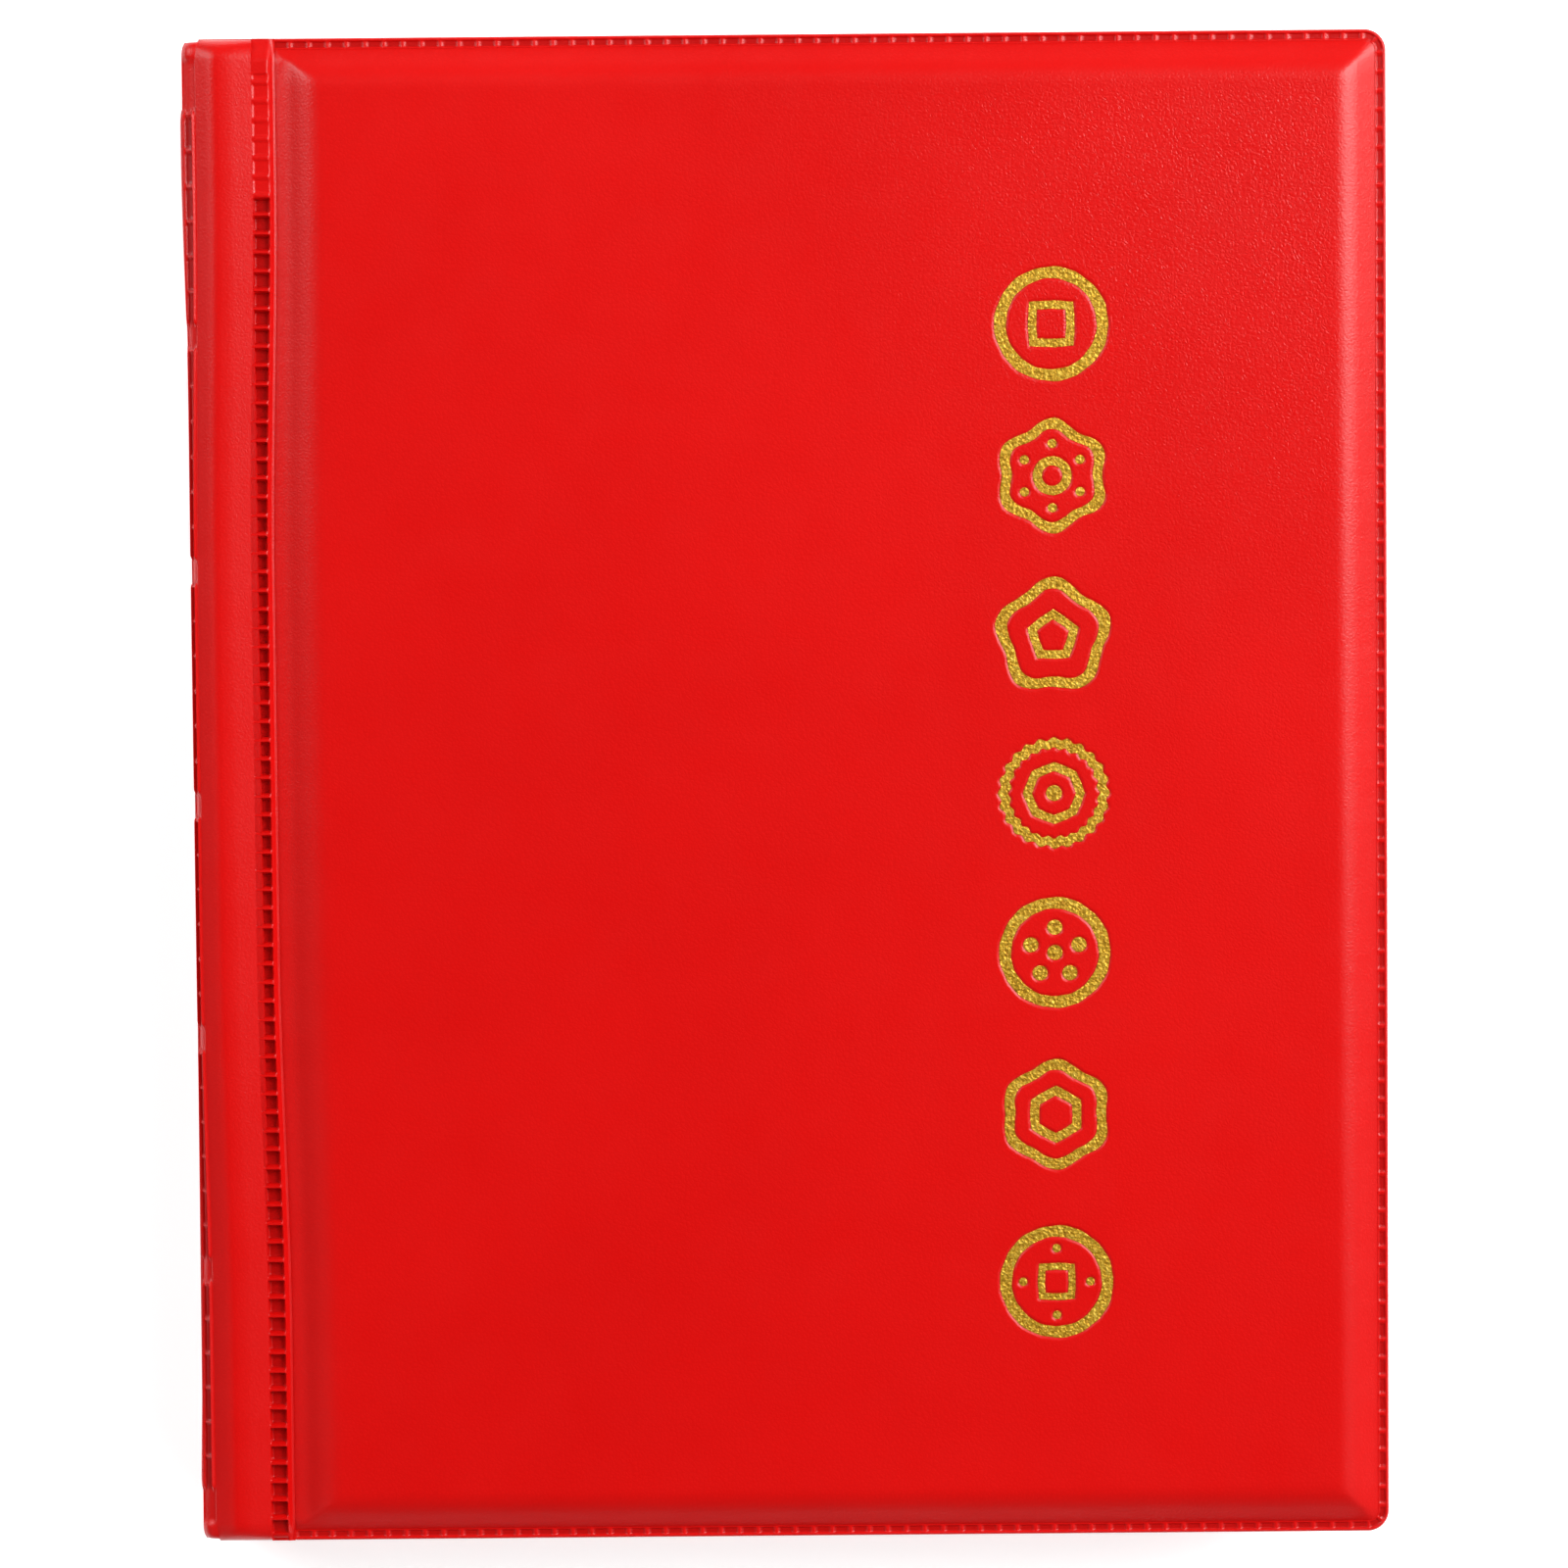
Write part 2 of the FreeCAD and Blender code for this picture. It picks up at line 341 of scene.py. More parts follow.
class Nodes:
    """A short way to write a material's nodes."""

    def __init__(self, name):
        self.material = bpy.data.materials.new(name)
        self.material.use_nodes = True
        self.tree = self.material.node_tree
        self.surface = self.tree.nodes["Principled BSDF"]
        self.place = self.add("ShaderNodeTexCoord").outputs["Object"]

    def add(self, kind, **settings):
        node = self.tree.nodes.new(kind)
        for key, value in settings.items():
            setattr(node, key, value)
        return node

    def link(self, source, target):
        self.tree.links.new(source, target)

    def feed(self, socket, value):
        """Links a socket to another's output, or gives it a value."""
        if isinstance(value, bpy.types.NodeSocket):
            self.link(value, socket)
        else:
            socket.default_value = value

    def noise(self, scale, detail=4.0, roughness=0.55):
        node = self.add("ShaderNodeTexNoise")
        self.link(self.place, node.inputs["Vector"])
        node.inputs["Scale"].default_value = scale
        node.inputs["Detail"].default_value = detail
        node.inputs["Roughness"].default_value = roughness
        return node.outputs["Fac"]

    def cells(self, scale, warp, feature="DISTANCE_TO_EDGE"):
        node = self.add("ShaderNodeTexVoronoi", feature=feature)
        self.link(warp, node.inputs["Vector"])
        node.inputs["Scale"].default_value = scale
        return node.outputs["Distance"]

    def warped(self, scale, amount):
        """The place, shifted by a noise, so that a pattern on it isn't regular."""
        noise = self.add("ShaderNodeTexNoise")
        self.link(self.place, noise.inputs["Vector"])
        noise.inputs["Scale"].default_value = scale
        shift = self.add("ShaderNodeVectorMath", operation="MULTIPLY_ADD")
        self.link(noise.outputs["Color"], shift.inputs[0])
        shift.inputs[1].default_value = (amount, amount, amount)
        self.link(self.place, shift.inputs[2])
        return shift.outputs[0]

    def ramp(self, source, stops):
        """A colour ramp of (position, colour) stops."""
        node = self.add("ShaderNodeValToRGB")
        self.link(source, node.inputs["Fac"])
        elements = node.color_ramp.elements
        for index, (position, colour) in enumerate(stops):
            element = elements[index] if index < 2 else elements.new(position)
            element.position = position
            element.color = (*colour, 1)
        return node.outputs["Color"]

    def span(self, source, low, high, from_low=0.0, from_high=1.0):
        node = self.add("ShaderNodeMapRange")
        self.link(source, node.inputs["Value"])
        limits = {"From Min": from_low, "From Max": from_high, "To Min": low, "To Max": high}
        for key, value in limits.items():
            self.feed(node.inputs[key], value)
        return node.outputs["Result"]

    def math(self, operation, first, second):
        node = self.add("ShaderNodeMath", operation=operation)
        for socket, value in zip(node.inputs, (first, second)):
            self.feed(socket, value)
        return node.outputs[0]

    def shaded(self, colour, tone):
        """A colour, multiplied by a tone from 0 to 1."""
        node = self.add("ShaderNodeMix", data_type="RGBA", blend_type="MULTIPLY")
        node.inputs["Factor"].default_value = 1.0
        self.link(colour, node.inputs[6])
        self.link(tone, node.inputs[7])
        return node.outputs[2]

    def attribute(self, name):
        """An amount stored at each point of a piece by mark_points, or 0 where there is none."""
        return self.add("ShaderNodeAttribute", attribute_name=name).outputs["Fac"]

    def bump(self, height, distance, strength=1.0, below=None):
        node = self.add("ShaderNodeBump")
        self.link(height, node.inputs["Height"])
        node.inputs["Distance"].default_value = distance
        self.feed(node.inputs["Strength"], strength)
        if below:
            self.link(below, node.inputs["Normal"])
        return node.outputs["Normal"]

    def set(self, **sockets):
        """Sets or links sockets of the surface shader, by name with underscores for spaces."""
        for key, value in sockets.items():
            self.feed(self.surface.inputs[key.replace("_", " ")], value)


def vinyl_material(name, dark, main, light, grain):
    """Grained soft vinyl: pebbles with fine creases between them, and a slow drift of colour.

    Colour is darker where a piece marks its film as pressed: partly the thinner pressed film, partly
    painted shade in its sunk bricks and dents. The grain's creases carry a little painted shade, and the
    grain of slack skin is deeper."""
    nodes = Nodes(name)
    warp = nodes.warped(900, 0.0007)
    pebbles = nodes.span(nodes.cells(1500, warp), 0, 1, 0.0, 0.34)
    fine = nodes.noise(1900, detail=2)
    height = nodes.math("ADD", nodes.math("MULTIPLY", pebbles, 0.4), nodes.math("MULTIPLY", fine, 0.8))
    slow = nodes.noise(22, detail=3)
    drift = nodes.ramp(slow, [(0.3, dark), (0.7, light), (0.5, main)])
    # Painted shade: the colour is up to 4% darker in the grain's creases.
    crease_shade = nodes.span(pebbles, 0.96, 1.0, 0.0, 0.5)
    # Painted shade: colour up to 30% darker where a piece marks its film as pressed, partly standing for
    # the darker pressed film itself.
    tone = nodes.math("MULTIPLY", crease_shade, nodes.span(nodes.attribute("pressed"), 1.0, 0.7))
    rough = nodes.span(nodes.noise(140, detail=5), 0.28, 0.36)
    dimples = nodes.bump(nodes.noise(60, detail=2), 0.0002, 0.2)
    strength = nodes.span(nodes.attribute("slack"), grain, 3 * grain)
    nodes.set(Base_Color=nodes.shaded(drift, tone), Roughness=rough, IOR=1.46,
              Normal=nodes.bump(height, 0.000032, strength, below=dimples))
    return nodes.material


def foil_material():
    """Hot-stamped gold foil: bright, crumpled by the grain under it, with painted shade in the hollows of
    its ripples and painted highlight on their crests.
    """
    nodes = Nodes("gold_foil")
    warp = nodes.warped(1500, 0.0006)
    crumple = nodes.cells(1900, warp, feature="F1")
    ripple = nodes.noise(1400, detail=4, roughness=0.65)
    height = nodes.math("ADD", nodes.math("MULTIPLY", crumple, 0.8), ripple)
    # Painted shade and highlight: the gold is darker where the ripple is low and brighter where it is
    # high, following the bump.
    tone = nodes.ramp(ripple, [(0.3, (0.4, 0.18, 0.01)), (0.72, (0.95, 0.66, 0.1)),
                               (0.5, (0.72, 0.4, 0.025))])
    nodes.set(Base_Color=tone, Metallic=0.6, Roughness=nodes.span(ripple, 0.25, 0.45),
              Normal=nodes.bump(height, 0.0002, 0.8))
    return nodes.material


def film_material():
    """Clear vinyl film, a little milky, with faint scuffs."""
    nodes = Nodes("clear_vinyl")
    scuffs = nodes.noise(420, detail=6, roughness=0.7)
    haze = nodes.span(nodes.noise(35, detail=2), 0.12, 0.26)
    nodes.set(Base_Color=nodes.ramp(scuffs, [(0.35, (0.72, 0.78, 0.83)), (0.7, (0.9, 0.94, 0.96))]),
              Roughness=haze, IOR=1.52, Alpha=0.34,
              Normal=nodes.bump(nodes.noise(90, detail=2), 0.0004, 0.4))
    return nodes.material


def binding_material():
    """Milky vinyl of the binding strip."""
    nodes = Nodes("binding_vinyl")
    cloud = nodes.noise(180, detail=3)
    nodes.set(Base_Color=nodes.ramp(cloud, [(0.3, (0.66, 0.68, 0.68)), (0.7, (0.8, 0.82, 0.82))]),
              Roughness=nodes.span(cloud, 0.3, 0.45), Normal=nodes.bump(nodes.noise(900), 0.00005, 0.5))
    return nodes.material


def board_material():
    """Grey board with fibres."""
    nodes = Nodes("greyboard")
    fibres = nodes.noise(1800, detail=6, roughness=0.7)
    nodes.set(Base_Color=nodes.ramp(fibres, [(0.3, (0.2, 0.18, 0.15)), (0.7, (0.42, 0.39, 0.34))]),
              Roughness=nodes.span(fibres, 0.8, 0.95), Normal=nodes.bump(fibres, 0.0001, 0.6))
    return nodes.material


red_vinyl = vinyl_material("red_vinyl", (0.64, 0.0024, 0.0018), (0.66, 0.0028, 0.0021),
                           (0.68, 0.0033, 0.0025), grain=0.8)
lining_vinyl = vinyl_material("lining_vinyl", (0.5, 0.006, 0.005), (0.56, 0.007, 0.006),
                              (0.6, 0.009, 0.007), grain=0.3)
gold_foil = foil_material()
clear_vinyl = film_material()
binding_vinyl = binding_material()
greyboard = board_material()


# ---- Gold motifs: generic coin signs, as closed outlines round the origin, in millimetres

OUTLINE_POINTS = 160
DOT_POINTS = 24
POLYGON_ROUNDNESS = 0.18


def wobble(angle, phase):
    """The small unevenness of a stamped edge, as a share of the radius."""
    return 0.006 * np.sin(7 * angle + phase) + 0.004 * np.sin(17 * angle + 2.3 * phase)


def outline(radius, lobes=0, swell=0.0, phase=0.0, points=OUTLINE_POINTS):
    """A circle, or a shape with lobes that swell from one."""
    angle = np.linspace(0, 2 * math.pi, points, endpoint=False)
    length = radius * (1 + swell * np.cos(lobes * angle) + wobble(angle, phase))
    return np.stack([length * np.sin(angle), length * np.cos(angle)], axis=-1)


def rounded_polygon(sides, radius, phase=0.0, turn=0.0):
    """A polygon with soft corners, the first of which points to the head."""
    angle = np.linspace(0, 2 * math.pi, OUTLINE_POINTS, endpoint=False)
    slice_angle = math.pi / sides
    folded = np.mod(angle + turn + slice_angle, 2 * slice_angle) - slice_angle
    flat = math.cos(slice_angle) / np.cos(slice_angle - np.abs(folded))
    soft = (1 - POLYGON_ROUNDNESS) * flat + POLYGON_ROUNDNESS * math.cos(slice_angle)
    length = radius * soft * (1 + wobble(angle, phase))
    return np.stack([length * np.sin(angle), length * np.cos(angle)], axis=-1)


def dots(count, ring_radius, dot_radius):
    """Dots evenly round a circle, the first of which is towards the head."""
    loops = []
    for i in range(count):
        place = 2 * math.pi * i / count
        centre = [ring_radius * math.sin(place), ring_radius * math.cos(place)]
        loops.append(outline(dot_radius, points=DOT_POINTS, phase=i) + centre)
    return loops


def ring(radius, stroke, **shape):
    return [outline(radius, **shape), outline(radius - stroke, phase=2, **shape)]


def frame_of(sides, radius, stroke, turn=0.0):
    outer = rounded_polygon(sides, radius, turn=turn)
    return [outer, rounded_polygon(sides, radius - stroke, turn=turn, phase=2)]


QUARTER = math.pi / 4
MOTIFS = [
    ring(9.4, 1.9) + frame_of(4, 5.4, 1.9, turn=QUARTER),
    ring(8.9, 1.7, lobes=6, swell=0.07) + ring(3.2, 1.5) + dots(6, 5.3, 0.75),
    ring(9.1, 1.8, lobes=5, swell=0.08) + frame_of(5, 4.6, 1.7),
    ring(9.0, 1.6, lobes=24, swell=0.03) + frame_of(8, 5.2, 1.5) + dots(1, 0, 1.3),
    ring(9.2, 1.9) + dots(5, 4.2, 1.25) + dots(1, 0, 1.25),
    ring(8.8, 1.7, lobes=6, swell=0.05) + frame_of(6, 4.9, 1.7),
    ring(9.4, 1.9) + frame_of(4, 4.4, 1.6, turn=QUARTER) + dots(4, 5.6, 0.7),
]
DEBOSS_DEPTH = 0.24 * MM
DEBOSS_WALL = 0.3 * MM
FOIL_DEPTH = 0.13 * MM
FOIL_THICKNESS = 0.03 * MM
MOTIF_REACH = 10.4 * MM
FAR = 1.0


def motif_centres():
    """Where the motifs are, from their CAD nodes."""
    boxes = [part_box("foil_motif_%d" % (number + 1)) for number in range(len(MOTIFS))]
    return [((low[0] + high[0]) / 2, (low[1] + high[1]) / 2) for low, high in boxes]


def signed_distance(x, y, loops):
    """Distance to a set of closed outlines, at most FAR, negative between an outer and an inner one."""
    nearest = np.full(x.shape, FAR)
    inside = np.zeros(x.shape, dtype=bool)
    for loop in loops:
        for (x0, y0), (x1, y1) in zip(loop, np.roll(loop, -1, axis=0)):
            run_x, run_y = x1 - x0, y1 - y0
            share = np.clip(((x - x0) * run_x + (y - y0) * run_y) / (run_x ** 2 + run_y ** 2), 0, 1)
            nearest = np.minimum(nearest, np.hypot(x - x0 - share * run_x, y - y0 - share * run_y))
            crosses = (y0 > y) != (y1 > y)
            crossing_x = x0 + (y - y0) * run_x / (run_y if run_y else 1e-12)
            inside ^= crosses & (x < crossing_x)
    return np.where(inside, -nearest, nearest)


# ---- Padded panels

COVER_RAMPS = {"spine": 8.2 * MM, "fore": 7.0 * MM, "ends": 6.6 * MM}
COVER_CROWN = 0.1 * MM
COVER_CORNER_SHARE = 0.25
LADDER_RISE_REACH = 3.0 * MM
LADDER_RISE_END = 2.0 * MM
WAVE_HEIGHT = 0.018 * MM
PULL_HEIGHT = 0.05 * MM
PULL_REACH = 1.3 * MM
PULL_START = 0.4 * MM
SLACK_REACH = 7.0 * MM
SLACK_END = 130.0 * MM
SLACK_FADE = 95.0 * MM
COVER_SPACING = (2.4 * MM, 0.8 * MM)
MOTIF_SPACING = 0.25 * MM


def unevenness(across, along):
    """The slow waves that foam leaves under a welded skin."""
    waves = np.sin(across / (17.3 * MM) + 0.6) * np.sin(along / (21.1 * MM) + 1.9)
    waves += 0.6 * np.sin(across / (9.1 * MM) - along / (13.4 * MM))
    return WAVE_HEIGHT * waves


def weld_pull(across_distance, along, pitch):
    """How each weld brick tugs at the padding beside it."""
    fade = np.exp(-np.maximum(across_distance, 0) / PULL_REACH) * smooth(across_distance / PULL_START)
    return PULL_HEIGHT * fade * np.cos(2 * math.pi * along / pitch)


def near_end(along, end, reach):
    """Falls from 1 to 0 over the last stretch before the head and the tail."""
    return smooth((end - np.abs(along)) / reach)


def cover_height(across, along):
    """The padding's outside over a cover, without the motifs."""
    from_ladder = across - cover_left
    raised = LADDER_COVER_RISE * (1 - smooth(from_ladder / LADDER_RISE_REACH))
    base = flange_level + raised * near_end(along, panel_end, LADDER_RISE_END)
    ends = ramp(panel_end - np.abs(along), COVER_RAMPS["ends"])
    sides = ramp(from_ladder, COVER_RAMPS["spine"]) * ramp(cover_right - across, COVER_RAMPS["fore"])
    form = (1 - COVER_CORNER_SHARE) * np.minimum(ends, sides) + COVER_CORNER_SHARE * ends * sides
    middle = (cover_left + cover_right) / 2
    crown = (1 - ((across - middle) / (cover_right - middle)) ** 2) * (1 - (along / panel_end) ** 2)
    pull = weld_pull(cover_right - across, along, BRICK_PITCH)
    pull = pull + weld_pull(from_ladder, along, LADDER_PITCH)
    pull = pull + weld_pull(panel_end - np.abs(along), across, BRICK_PITCH)
    top = album_top - COVER_CROWN + COVER_CROWN * crown + unevenness(across, along) + pull
    return base + form * (top - base)


def debossed_cover_height(across, along):
    """The front cover's outside, with the motifs pressed into it."""
    height = cover_height(across, along)
    for (centre_x, centre_y), loops in zip(motif_centres(), MOTIFS):
        near = (np.abs(across - centre_x) < MOTIF_REACH) & (np.abs(along - centre_y) < MOTIF_REACH)
        x, y = (across[near] - centre_x) / MM, (along[near] - centre_y) / MM
        distance = signed_distance(x, y, loops) * MM
        height[near] -= DEBOSS_DEPTH * smooth(1 - distance / DEBOSS_WALL)
    return height


def cover_lines(with_motifs):
    """Grid lines across and along a cover, closer together where the motifs are."""
    across = merged_lines(
        cover_left + ramp_lines(COVER_RAMPS["spine"], 18),
        cover_right - ramp_lines(COVER_RAMPS["fore"], 18),
        spaced(cover_left + COVER_RAMPS["spine"], cover_right - COVER_RAMPS["fore"], COVER_SPACING[0]))
    ends = ramp_lines(COVER_RAMPS["ends"], 14)
    inner = panel_end - COVER_RAMPS["ends"]
    along = merged_lines(panel_end - ends, ends - panel_end, spaced(-inner, inner, COVER_SPACING[1]))
    if with_motifs:
        centres = motif_centres()
        middle = centres[0][0]
        across = merged_lines(across, spaced(middle - MOTIF_REACH, middle + MOTIF_REACH, MOTIF_SPACING))
        rows = [spaced(y - MOTIF_REACH, y + MOTIF_REACH, MOTIF_SPACING) for x, y in centres]
        along = merged_lines(along, *rows, closest=0.06 * MM)
    return across, along


def cover_slack(across, along):
    """How loose the skin of a cover is: taut over its ramps, and loosest by its head and fore edge."""
    from_spine = across - cover_left - COVER_RAMPS["spine"]
    from_fore = cover_right - COVER_RAMPS["fore"] - across
    from_ends = panel_end - COVER_RAMPS["ends"] - np.abs(along)
    from_ramps = np.minimum(np.minimum(from_spine, from_fore), from_ends)
    from_corner = np.hypot(across - cover_right, along - panel_end)
    return smooth(from_ramps / SLACK_REACH + 0.5) * smooth((SLACK_END - from_corner) / SLACK_FADE)


def make_cover(side, height, with_motifs):
    place, flip = FACES[side]
    across, along = cover_lines(with_motifs)
    piece = make_panel(side + "_cover_padding", across, along, height, lining_outer, place, flip,
                       red_vinyl, EDGE_CORNER - EDGE_WIDTH, rounded=(1,))
    mark_points(piece, "slack", cover_slack(*np.meshgrid(across, along)))
    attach(piece, side + "_cover")
    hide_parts(side + "_cover_skin", side + "_cover_foam")


STRIP_RAMPS = {"fold": 4.0 * MM, "ends": 3.4 * MM}
STRIP_LEVEL_STRETCH = 2.2 * MM
STRIP_CORNER = 0.8 * MM
strip_top = album_top - 0.04 * MM
strip_end_level = flange_level + 0.25 * MM
strip_end = half_height - 0.2 * MM


def strip_height(across, along):
    """The strip beside the spine: it rises quickly from the fold and falls slowly to the ladder weld."""
    from_fold = across - strip_low
    rise = (strip_top - strip_base) * ramp(from_fold, STRIP_RAMPS["fold"])
    falling_stretch = strip_high - strip_low - STRIP_LEVEL_STRETCH
    to_ladder = np.clip((from_fold - STRIP_LEVEL_STRETCH) / falling_stretch, 0, 1)
    fall = (strip_top - flange_level - LADDER_STRIP_RISE) * (1 - ramp(1 - to_ladder, 1.0))
    middle = strip_base + rise - fall + unevenness(across, along)
    ends = shoulder(strip_end - np.abs(along), STRIP_RAMPS["ends"])
    return strip_end_level + (middle - strip_end_level) * ends


def make_strip(side):
    place, flip = FACES[side]
    across = spaced(strip_low, strip_high, 0.35 * MM)
    ends = shoulder_lines(STRIP_RAMPS["ends"], 14)
    inner = strip_end - STRIP_RAMPS["ends"]
    along = merged_lines(strip_end - ends, ends - strip_end, spaced(-inner, inner, 2.0 * MM))
    piece = make_panel(side + "_strip_padding", across, along, strip_height, lining_outer, place, flip,
                       red_vinyl, STRIP_CORNER, rounded=(-1,))
    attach(piece, side + "_strip")
    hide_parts(side + "_strip_skin", side + "_strip_foam")


SPINE_BASE = 0.55 * MM
SPINE_SHOULDER = 2.6 * MM
SPINE_FULLNESS = 0.8
SPINE_END_DROP = 0.5 * MM
SPINE_END_REACH = 2.5 * MM
SPINE_CORNER = 0.8 * MM
NECK_BRICK_SOFT = (0.25 * MM, 0.3 * MM)
NECK_BRICK_BEYOND = 0.6 * MM
spine_low = FOLD_SPINE_BORDER[1]
spine_high = album_top - FOLD_SPINE_BORDER[1]


def in_spine_panel(along):
    """Distance into the nearest padded panel of the spine from its ends, negative in a neck."""
    offset = along + half_height - SPINE_TAIL
    inside = (spine_pitch - NECK) / 2 - np.abs(from_cell_middle(offset, spine_pitch))
    beyond = np.maximum(-offset, offset - SPINE_PANELS * spine_pitch)
    return np.where(beyond > 0, -NECK / 2, inside)


def spine_height(across, along):
    """The spine's outside: padded panels between pressed necks with a row of bricks across each."""
    depth = in_spine_panel(along)
    ends = shoulder(np.maximum(depth, 0), SPINE_SHOULDER)
    sides = shoulder(across - spine_low, SPINE_SHOULDER) * shoulder(spine_high - across, SPINE_SHOULDER)
    bulge = (ends * sides) ** SPINE_FULLNESS
    offset = along + half_height - SPINE_TAIL
    from_neck = from_cell_middle(offset + spine_pitch / 2, spine_pitch)
    from_brick = from_cell_middle(across - spine_low, BRICK_PITCH)
    brick = plateau(from_neck, BRICK_WIDTH / 2, NECK_BRICK_SOFT[0])
    brick = brick * plateau(from_brick, BRICK_LENGTH / 2, NECK_BRICK_SOFT[1])
    beyond = np.maximum(-offset, offset - SPINE_PANELS * spine_pitch)
    brick = brick * (beyond < NECK_BRICK_BEYOND)
    end_drop = SPINE_END_DROP * (1 - near_end(along, spine_end, SPINE_END_REACH))
    return -spine_face - SPINE_BASE - end_drop + SPINE_BASE * bulge - BRICK_DEPTH * brick


def make_spine():
    across = merged_lines(spaced(spine_low, spine_high, 0.45 * MM),
                          spine_low + shoulder_lines(SPINE_SHOULDER, 9),
                          spine_high - shoulder_lines(SPINE_SHOULDER, 9))
    necks = [i * spine_pitch - half_height + SPINE_TAIL for i in range(SPINE_PANELS + 1)]
    fine = [spaced(y - 4 * MM, y + 4 * MM, 0.25 * MM) for y in necks]
    fine.append(spaced(spine_end - 3 * MM, spine_end, 0.3 * MM))
    along = merged_lines(spaced(-spine_end, spine_end, 2.0 * MM), *fine, closest=0.1 * MM)
    along = along[np.abs(along) <= spine_end + 1e-9]
    piece = make_panel("spine_padding", across, along, spine_height, spine_lining_face, on_spine, False,
                       red_vinyl, SPINE_CORNER)
    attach(piece, "spine")
    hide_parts("spine_skin", "spine_foam_pads")


# ---- Welds

BRICK_SOFT = (0.22 * MM, 0.26 * MM)
BRICK_PLACE = 1.05 * MM
EDGE_LIFT = 0.04 * MM
EDGE_ROUNDING = 0.22 * MM
EDGE_FINE = 0.3 * MM
RIM_PLACE = 0.36 * MM
RIM_HALF = 0.14 * MM
RIM_SOFT = 0.2 * MM
RIM_HEIGHT = 0.08 * MM


def brick_rows(position, across_distance, pitch, length, width):
    """A row of sunk bricks: 1 on a brick's floor and 0 on the film between them."""
    lengthways = plateau(from_cell_middle(position, pitch), length / 2, BRICK_SOFT[1])
    return lengthways * plateau(across_distance, width / 2, BRICK_SOFT[0])


def cover_outline():
    """The outer edge of a cover: tail, fore edge and head, as a function of the length along it."""
    straight = fore_edge - EDGE_CORNER - cover_left
    arc = EDGE_CORNER * math.pi / 2
    side = 2 * (half_height - EDGE_CORNER)
    starts = np.cumsum([0, straight, arc, side, arc, straight])

    def at(length):
        turn = np.clip((length - starts[1]) / arc, 0, 1) + np.clip((length - starts[3]) / arc, 0, 1)
        angle = (turn - 1) * math.pi / 2
        run = length - starts[2]
        x = np.where(length < starts[1], cover_left + length, fore_edge - EDGE_CORNER)
        x = np.where(length > starts[4], fore_edge - EDGE_CORNER - (length - starts[4]), x)
        y = np.clip(run, 0, side) - side / 2
        normal = np.stack([np.cos(angle), np.sin(angle)], axis=-1)
        return np.stack([x, y], axis=-1) + EDGE_CORNER * normal, normal

    return at, starts[-1]


def edge_relief(inward, position):
    """The height of a welded edge, a rounded rim with sunk bricks beside it, and where its bricks are."""
    rim = RIM_HEIGHT * plateau(inward - RIM_PLACE, RIM_HALF, RIM_SOFT)
    drop = EDGE_ROUNDING * smooth(1 - inward / EDGE_ROUNDING) ** 2
    bricks = brick_rows(position, inward - BRICK_PLACE, BRICK_PITCH, BRICK_LENGTH, BRICK_WIDTH)
    return rim - drop - BRICK_DEPTH * bricks + EDGE_LIFT, bricks


def make_edge(side):
    """The weld round a cover's tail, fore edge and head."""
    place, flip = FACES[side]
    outline_at, total = cover_outline()
    inward = merged_lines(np.linspace(0, EDGE_FINE, 5), np.linspace(EDGE_FINE, EDGE_WIDTH, 16))[::-1]
    position = spaced(0, total, BRICK_PITCH / 12)
    grid_in, grid_at = np.meshgrid(inward, position)
    points, normals = outline_at(grid_at)
    flat = points - normals * grid_in[..., None]
    relief, pressed = edge_relief(grid_in, grid_at)
    top = place(flat[..., 0], flat[..., 1], flange_level + relief).reshape(-1, 3)
    rim = place(flat[:, -1, 0], flat[:, -1, 1], np.full(len(position), lining_outer))
    rows, columns = grid_in.shape
    faces = grid_faces(rows, columns)
    base = rows * columns
    for row in range(rows - 1):
        outer = row * columns + columns - 1
        faces.append([outer, base + row, base + row + 1, outer + columns])
    piece = make_piece(side + "_cover_edge_weld", np.concatenate([top, rim]), faces, red_vinyl, flip)
    # The sunk bricks get darker colour: painted shade, partly the darker pressed film.
    mark_points(piece, "pressed", pressed)
    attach(piece, side + "_cover")


LADDER_STEP = 0.6 * MM
LADDER_END_SHARE = 0.15
LADDER_END_REACH = 4.0 * MM
GROOVE_PLACE = 1.55 * MM
GROOVE_HALF = 0.1 * MM
GROOVE_SOFT = 0.35 * MM
GROOVE_DEPTH = 0.2 * MM
RAIL_PLACE = 1.0 * MM
RAIL_HALF = 0.2 * MM
RAIL_SOFT = 0.3 * MM
RAIL_HEIGHT = 0.05 * MM
DENT_FLOOR = 0.6 * MM
DENT_CENTRE = -0.5 * MM
DENT_WIDTH = 2.5 * MM
DENT_LENGTH = 2.25 * MM
DENT_SOFT = 0.34 * MM
DENT_DARKNESS = 0.45
PLAIN_HEAD = 6.0 * MM
SHALLOW_HEAD = 26.0 * MM
SHALLOW_FADE = 0.5 * MM
SHALLOW_SHIFT = 0.1 * MM
SHALLOW_SHARE = 0.14


def ladder_border(offset, along):
    """The ladder weld without its dents: a step down to the cover, with a waved rail and a groove."""
    share = smooth((offset - LADDER_STEP) / (LADDER_HALF - LADDER_STEP))
    step = LADDER_STRIP_RISE + (LADDER_COVER_RISE - LADDER_STRIP_RISE) * share
    groove = GROOVE_DEPTH * plateau(offset - GROOVE_PLACE, GROOVE_HALF, GROOVE_SOFT)
    rail = RAIL_HEIGHT * plateau(offset - RAIL_PLACE, RAIL_HALF, RAIL_SOFT)
    return step + rail * (1 + np.cos(2 * math.pi * along / LADDER_PITCH)) - groove


